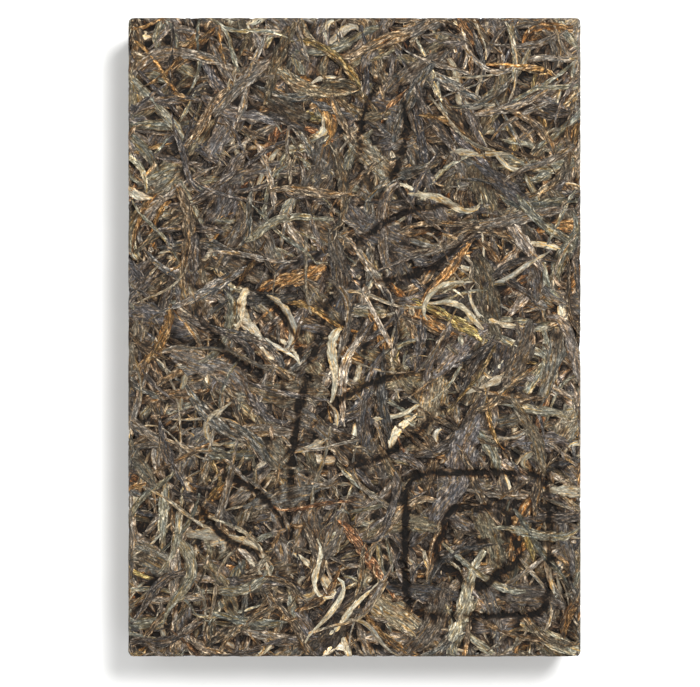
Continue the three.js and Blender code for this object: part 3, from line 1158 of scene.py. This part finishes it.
def leaf_finish(
    name, palette, warm, pale, warmth=0.5, paleness=0.5, streak=1.0, crease_shade=1.0, shine=0.45
):
    """palette: colours from leaf to leaf. warm: its brown patches. pale: its veins and margins.
    Each noise is drawn out along the leaf, and leaf keeps two leaves' noises apart."""
    finish = Finish(name)
    place = finish.add("ShaderNodeUVMap", uv_map="grain")
    u = finish.add("ShaderNodeSeparateXYZ", {0: place})
    v = Signal(finish, u.socket.node.outputs[1])
    tone, shade, sunk, rim = (finish.value(key) for key in VALUES)
    leaf = tone * LEAF_APART
    own = finish.ramp(tone, palette)
    shift = finish.noise(finish.vector(u * 1.2, v * 3, leaf + 7), 1.4, 2)
    cast = finish.noise(finish.vector(u * 1.6 + shift, v * 12, leaf + 53), 1.0, 3, 0.7)
    patch = finish.noise(finish.vector(u * 1.6, v * 4, leaf), 1.5, 3)
    fine = finish.noise(finish.vector(u * 3 + shift, v * 17 + shift * 5, leaf), 1.0, 4, 0.75)
    crease = finish.noise(finish.vector(u * 8 + shift * 3, v * 12, leaf + 31), 1.0, 3, 0.7)
    colour = finish.mix(patch.step(0.5, 0.6) * warmth, own, (*warm, 1))
    colour = finish.tinted(colour, GOLDEN_CAST, cast.step(0.53, 0.66))
    colour = finish.tinted(colour, SLATE_CAST, cast.step(0.49, 0.37))
    veins = (fine + crease * 0.6 + rim * 0.12).step(0.92, 1.08) * paleness
    colour = finish.mix(veins, colour, (*pale, 1))
    # Painted shade: sunk points are tinted brown, as the shade in the gaps between leaves looks.
    colour = finish.tinted(colour, SUNK_SHADE_TINT, sunk.step(-0.1, 0.7))
    # Painted light and shade: the streaks and creases, which are also the bumps below, are lighter on
    # their ridges and darker in their hollows; the streaks are partly the leaf's own colour too. The
    # shade value is a random brightness for each leaf, not light.
    light = (1 + STREAK_GAIN * streak) ** (fine.step(0.38, 0.62) - 0.52)
    light = light * ((1 + CREASE_SHADE_GAIN * crease_shade) ** (crease.step(0.38, 0.62) - 0.5))
    light = light * (SHADE_STEP ** shade)
    # Painted shade: sunk points, and the grooves with them, are darkened here.
    painted_shade = OPEN_LIGHT - sunk.step(-0.15, 0.76) * SUNK_DARK
    # Painted shade: a dark outline at each leaf's edges.
    painted_shade = painted_shade * (1 - rim.step(0.7, 1) * EDGE_DARK)
    height = fine.step(0.25, 0.75) * 0.7 + crease
    bump = {"Strength": 0.4 + min(0.5, streak / 2), "Distance": RELIEF, "Height": height}
    gleam = crease.step(0.48, 0.6) * painted_shade
    finish.feed(finish.shader, {
        "Base Color": finish.scaled(colour, light * painted_shade),
        "Normal": finish.add("ShaderNodeBump", bump),
        "Roughness": ROUGHEST - gleam * shine,
        "Specular IOR Level": SPECULAR,
    })
    return finish


CHARCOAL = [(0.07, 0.056, 0.045), (0.1, 0.082, 0.068), (0.055, 0.05, 0.05), (0.11, 0.102, 0.082)]
BROAD = [(0.1, 0.082, 0.066), (0.075, 0.067, 0.064), (0.13, 0.112, 0.092), (0.085, 0.066, 0.048),
         (0.15, 0.122, 0.07), (0.11, 0.1, 0.084)]
UMBER = [(0.095, 0.06, 0.034), (0.13, 0.092, 0.056), (0.08, 0.06, 0.042), (0.15, 0.117, 0.07)]
TAUPE = [(0.15, 0.12, 0.09), (0.19, 0.155, 0.116), (0.13, 0.105, 0.088), (0.24, 0.2, 0.15)]
GREY_GREEN = [(0.14, 0.132, 0.098), (0.22, 0.197, 0.14), (0.11, 0.107, 0.084), (0.3, 0.265, 0.19)]
BRONZE = [(0.19, 0.095, 0.034), (0.26, 0.15, 0.048), (0.15, 0.068, 0.03), (0.22, 0.17, 0.06)]
GOLD = [(0.36, 0.305, 0.205), (0.48, 0.42, 0.3), (0.28, 0.23, 0.16), (0.5, 0.445, 0.34)]
STALK = [(0.18, 0.135, 0.088), (0.11, 0.087, 0.066), (0.3, 0.245, 0.165), (0.14, 0.115, 0.088)]
CRUMB = [(0.08, 0.062, 0.048), (0.2, 0.15, 0.095), (0.28, 0.235, 0.165), (0.11, 0.09, 0.073),
         (0.22, 0.125, 0.05), (0.42, 0.36, 0.25)]

# %% The finishes
finishes = {
    "charcoal_leaves": leaf_finish(
        "charcoal leaf", CHARCOAL, (0.12, 0.078, 0.042), (0.26, 0.22, 0.17), shine=0.5,
    ),
    "umber_leaves": leaf_finish("umber leaf", UMBER, (0.2, 0.115, 0.045), (0.32, 0.255, 0.17)),
    "taupe_leaves": leaf_finish(
        "taupe leaf", TAUPE, (0.17, 0.11, 0.058), (0.38, 0.335, 0.265), streak=0.8,
        crease_shade=0.8,
    ),
    "grey_green_leaves": leaf_finish(
        "grey-green leaf", GREY_GREEN, (0.19, 0.145, 0.065), (0.4, 0.36, 0.28), streak=0.7,
        crease_shade=0.7,
    ),
    "bronze_leaves": leaf_finish(
        "bronze leaf", BRONZE, (0.075, 0.052, 0.035), (0.34, 0.26, 0.15), warmth=0.8, streak=1.4,
    ),
    "broad_leaves": leaf_finish(
        "broad leaf", BROAD, (0.12, 0.085, 0.05), (0.26, 0.22, 0.165), paleness=0.3, streak=0.6,
        crease_shade=0.9, shine=0.55,
    ),
    "stalks": leaf_finish(
        "stalk", STALK, (0.26, 0.18, 0.09), (0.38, 0.31, 0.21), streak=0.6, crease_shade=0.6,
    ),
    "golden_buds": leaf_finish(
        "golden bud", GOLD, (0.3, 0.2, 0.095), (0.54, 0.475, 0.36), paleness=0.4, streak=0.25,
        crease_shade=0.4, shine=0.3,
    ),
    "leaf_crumbs": leaf_finish("leaf crumb", CRUMB, (0.17, 0.11, 0.06), (0.4, 0.33, 0.23)),
    "leaf_fibres": leaf_finish("leaf fibre", STALK, (0.3, 0.22, 0.13), (0.36, 0.3, 0.21)),
}
for name, finish in finishes.items():
    finish.wear(made_pieces[name])

# %% Tea dust, nearly black as painted shade
# The core's dark colour is painted shade as much as tea dust: it darkens the gaps where the core
# shows.
DUST_AND_SHADE_DARK, DUST_PALE = (0.02, 0.015, 0.012, 1), (0.13, 0.098, 0.07, 1)
GRAINS_A_METRE, GRAIN_RELIEF = 1600, 0.0015

dust_and_shade = Finish("tea dust")
speck = dust_and_shade.noise(dust_and_shade.add("ShaderNodeTexCoord", output="Object"), GRAINS_A_METRE, 4, 0.7)
grains = {"Strength": 1, "Distance": GRAIN_RELIEF, "Height": speck}
dust_and_shade.feed(dust_and_shade.shader, {
    "Base Color": dust_and_shade.mix(speck.step(0.45, 0.62), DUST_AND_SHADE_DARK, DUST_PALE),
    "Normal": dust_and_shade.add("ShaderNodeBump", grains),
    "Roughness": 0.95,
})
dust_and_shade.wear(core)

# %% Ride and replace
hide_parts("tea_brick")
for piece in (core, *made_pieces.values()):
    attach(piece, "root")

# %% Sizes
low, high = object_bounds()
